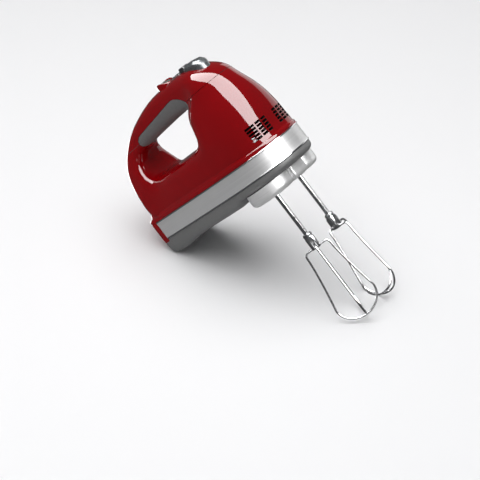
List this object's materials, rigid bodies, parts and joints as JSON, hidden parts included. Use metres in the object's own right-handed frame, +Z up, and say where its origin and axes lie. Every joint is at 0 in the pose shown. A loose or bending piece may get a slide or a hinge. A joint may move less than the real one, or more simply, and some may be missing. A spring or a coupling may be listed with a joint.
{
  "type": "hand mixer",
  "caption": "Nose-up hand mixer with a closed grip handle, wrap-round trim band, vented nose, geared motor and wire beaters that eject.",
  "frame": {"origin": "centre of the bounding box at the surface the mixer stands on", "axes": "+Z up; +X away from the resting heel towards the beaters; +Y towards the mixer's left side"},
  "size_m": [0.2952, 0.091, 0.2188],
  "materials": {
    "red_shell": "high-gloss red with a clear coat",
    "brushed_band": "brushed along its length",
    "charcoal_base": "fine texture",
    "silver_plate": "satin silver",
    "soft_grip": "soft-touch",
    "display_window": "clear window over a grey-green display",
    "green_board": "solder mask",
    "grey_plastic": "moulded",
    "dark_button": "satin",
    "black_plastic": "moulded",
    "nylon": "moulded nylon",
    "lamination": "stacked laminations",
    "copper_wire": "enamelled copper wire",
    "steel": "ground steel",
    "brass": "machined",
    "carbon": "pressed carbon",
    "die_cast": "die-cast",
    "seal": "moulded",
    "beater_steel": "polished stainless wire"
  },
  "bodies": {
    "housing": {"motor_housing": "red_shell", "handle_cover": "red_shell", "trim_band": "brushed_band", "base_cover": "charcoal_base", "socket_plate": "silver_plate", "handle_grip": "soft_grip", "display_bezel": "red_shell", "display_lens": "display_window", "display_module": "green_board", "control_strip": "grey_plastic", "control_board": "green_board", "board_components": "black_plastic", "power_switch": "grey_plastic", "cord_gland": "charcoal_base", "cord_clamp": "nylon", "vent_baffle": "black_plastic", "stator_core": "lamination", "field_coils": "copper_wire", "motor_bracket_rear": "grey_plastic", "motor_bracket_front": "grey_plastic", "motor_bearings": "steel", "brush_holders": "brass", "carbon_brushes": "carbon", "brush_springs": "steel", "gearbox_frame": "die_cast", "gearbox_top": "die_cast", "gearbox_screws": "steel", "spindle_bushes": "brass", "socket_seals": "seal", "housing_screws": "steel", "ejector_guide": "grey_plastic", "ejector_spring": "steel", "power_spring": "steel", "speed_up_spring": "steel", "speed_down_spring": "steel"},
    "rotor": {"motor_shaft": "steel", "armature_core": "lamination", "armature_windings": "copper_wire", "commutator": "brass", "worm": "steel", "cooling_fan": "nylon"},
    "spindle_right": {"worm_wheel_right": "nylon", "spindle_right": "steel", "retaining_ring_right": "steel"},
    "spindle_left": {"worm_wheel_left": "nylon", "spindle_left": "steel", "retaining_ring_left": "steel"},
    "beater_right": {"beater_shaft_right": "beater_steel", "beater_ferrule_right": "beater_steel", "beater_loop_a_right": "beater_steel", "beater_loop_b_right": "beater_steel"},
    "beater_left": {"beater_shaft_left": "beater_steel", "beater_ferrule_left": "beater_steel", "beater_loop_a_left": "beater_steel", "beater_loop_b_left": "beater_steel"},
    "ejector": {"ejector_button": "silver_plate", "ejector_yoke": "nylon"},
    "power_button": {"power_button": "dark_button"},
    "speed_up_button": {"speed_up_button": "dark_button"},
    "speed_down_button": {"speed_down_button": "dark_button"}
  },
  "joints": [
    {"name": "motor_spin", "type": "hinge", "parent": "housing", "child": "rotor", "pos_m": [-0.04238, 0, 0.09273], "axis": [0.7081, 0, 0.7061], "continuous": true},
    {"name": "spindle_right_spin", "type": "hinge", "parent": "housing", "child": "spindle_right", "pos_m": [0.00648, -0.01975, 0.14145], "axis": [-0.7061, 0, 0.7081], "continuous": true},
    {"name": "spindle_left_spin", "type": "hinge", "parent": "housing", "child": "spindle_left", "pos_m": [0.00648, 0.01975, 0.14145], "axis": [-0.7061, 0, 0.7081], "continuous": true},
    {"name": "beater_right_eject", "type": "slide", "parent": "spindle_right", "child": "beater_right", "axis": [0.7061, 0, -0.7081], "range_m": [0, 0.007]},
    {"name": "beater_left_eject", "type": "slide", "parent": "spindle_left", "child": "beater_left", "axis": [0.7061, 0, -0.7081], "range_m": [0, 0.007]},
    {"name": "ejector_press", "type": "slide", "parent": "housing", "child": "ejector", "axis": [0.7061, 0, -0.7081], "range_m": [0, 0.007], "stiffness_N_per_m": 800, "springref_m": -0.004, "deforming": ["ejector_spring"]},
    {"name": "power_press", "type": "slide", "parent": "housing", "child": "power_button", "axis": [0.7061, 0, -0.7081], "range_m": [0, 0.001], "stiffness_N_per_m": 400, "springref_m": -0.002, "deforming": ["power_spring"]},
    {"name": "speed_up_press", "type": "slide", "parent": "housing", "child": "speed_up_button", "axis": [0.7061, 0, -0.7081], "range_m": [0, 0.001], "stiffness_N_per_m": 400, "springref_m": -0.002, "deforming": ["speed_up_spring"]},
    {"name": "speed_down_press", "type": "slide", "parent": "housing", "child": "speed_down_button", "axis": [0.7061, 0, -0.7081], "range_m": [0, 0.001], "stiffness_N_per_m": 400, "springref_m": -0.002, "deforming": ["speed_down_spring"]}
  ],
  "couplings": [
    {"joint": "spindle_right_spin", "follows": "motor_spin", "ratio": 0.033333},
    {"joint": "spindle_left_spin", "follows": "motor_spin", "ratio": -0.033333},
    {"joint": "beater_right_eject", "follows": "ejector_press", "ratio": 1},
    {"joint": "beater_left_eject", "follows": "ejector_press", "ratio": 1}
  ]
}
